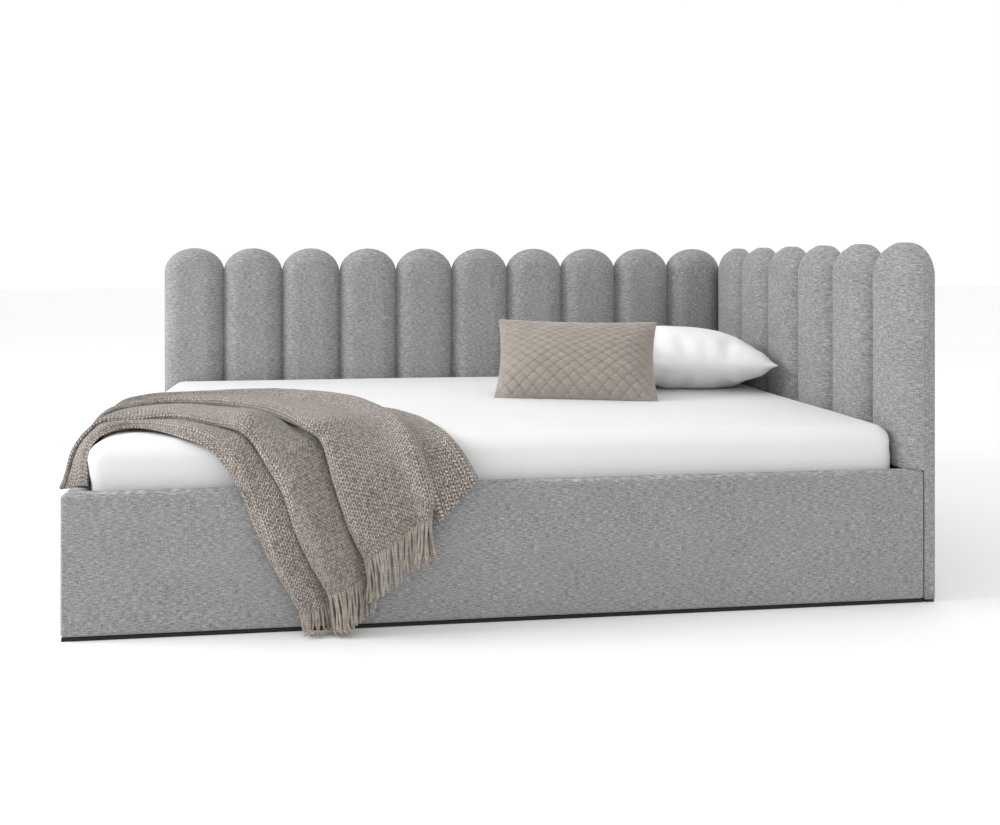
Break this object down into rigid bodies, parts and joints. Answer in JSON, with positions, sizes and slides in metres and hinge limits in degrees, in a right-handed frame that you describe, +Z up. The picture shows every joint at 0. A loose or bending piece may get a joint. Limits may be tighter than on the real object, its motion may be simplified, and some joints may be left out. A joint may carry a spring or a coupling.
{
  "type": "toddler bed",
  "caption": "Upholstered corner bed with scalloped padded back and head panels, a slatted base, a mattress in a white sheet, a pillow, a cushion and a knitted throw.",
  "frame": {"origin": "on the floor, under the middle of the whole set's box", "axes": "+X from the foot rail to the head panel, +Y from the open front rail to the back panel, +Z up"},
  "size_m": [2.18, 1.375, 0.922],
  "materials": {
    "upholstery": "matte",
    "chipboard": "matte",
    "batten": "matte",
    "slat_ply": "satin",
    "base_steel": "matte",
    "black_steel": "satin",
    "zinc": "satin",
    "black_plastic": "matte",
    "rubber_pad": "matte",
    "mattress_foam": "matte",
    "white_sheet": "matte",
    "white_pillowcase": "matte",
    "taupe_quilt": "matte",
    "taupe_knit": "matte"
  },
  "bodies": {
    "bed_frame": {"back_channel_01": "upholstery", "back_channel_02": "upholstery", "back_channel_03": "upholstery", "back_channel_04": "upholstery", "back_channel_05": "upholstery", "back_channel_06": "upholstery", "back_channel_07": "upholstery", "back_channel_08": "upholstery", "back_channel_09": "upholstery", "back_channel_10": "upholstery", "back_ledge": "batten", "back_panel_board": "chipboard", "back_panel_cover": "upholstery", "beam_brackets": "black_steel", "beam_legs": "black_steel", "center_beam": "black_steel", "corner_bolts": "zinc", "corner_brackets": "black_steel", "floor_strips": "black_plastic", "foot_rail_board": "chipboard", "foot_rail_cover": "upholstery", "front_ledge": "batten", "front_rail_board": "chipboard", "front_rail_cover": "upholstery", "head_channel_01": "upholstery", "head_channel_02": "upholstery", "head_channel_03": "upholstery", "head_channel_04": "upholstery", "head_channel_05": "upholstery", "head_channel_06": "upholstery", "head_panel_board": "chipboard", "head_panel_cover": "upholstery", "ledge_screws": "zinc", "leg_pads": "rubber_pad"},
    "slat_base": {"base_end_rails": "base_steel", "base_rail_back": "base_steel", "base_rail_centre": "base_steel", "base_rail_front": "base_steel", "slat_01": "slat_ply", "slat_02": "slat_ply", "slat_03": "slat_ply", "slat_04": "slat_ply", "slat_05": "slat_ply", "slat_06": "slat_ply", "slat_07": "slat_ply", "slat_08": "slat_ply", "slat_09": "slat_ply", "slat_10": "slat_ply", "slat_11": "slat_ply", "slat_12": "slat_ply", "slat_13": "slat_ply", "slat_caps": "black_plastic"},
    "mattress": {"fitted_sheet": "white_sheet", "mattress_core": "mattress_foam"},
    "pillow": {"pillow": "white_pillowcase"},
    "cushion": {"cushion": "taupe_quilt"},
    "throw": {"throw_foot_drop": "taupe_knit", "throw_fringe": "taupe_knit", "throw_front_drop": "taupe_knit", "throw_top": "taupe_knit"}
  },
  "joints": [
    {"name": "base_lift", "type": "slide", "parent": "bed_frame", "child": "slat_base", "axis": [0, 0, 1], "range_m": [0, 0.35]},
    {"name": "mattress_lift", "type": "slide", "parent": "slat_base", "child": "mattress", "axis": [0, 0, 1], "range_m": [0, 0.35]},
    {"name": "pillow_lift", "type": "slide", "parent": "mattress", "child": "pillow", "axis": [0, 0, 1], "range_m": [0, 0.3]},
    {"name": "cushion_lift", "type": "slide", "parent": "pillow", "child": "cushion", "axis": [0, 0, 1], "range_m": [0, 0.3]},
    {"name": "throw_lift", "type": "slide", "parent": "mattress", "child": "throw", "axis": [0, 0, 1], "range_m": [0, 0.45]}
  ]
}
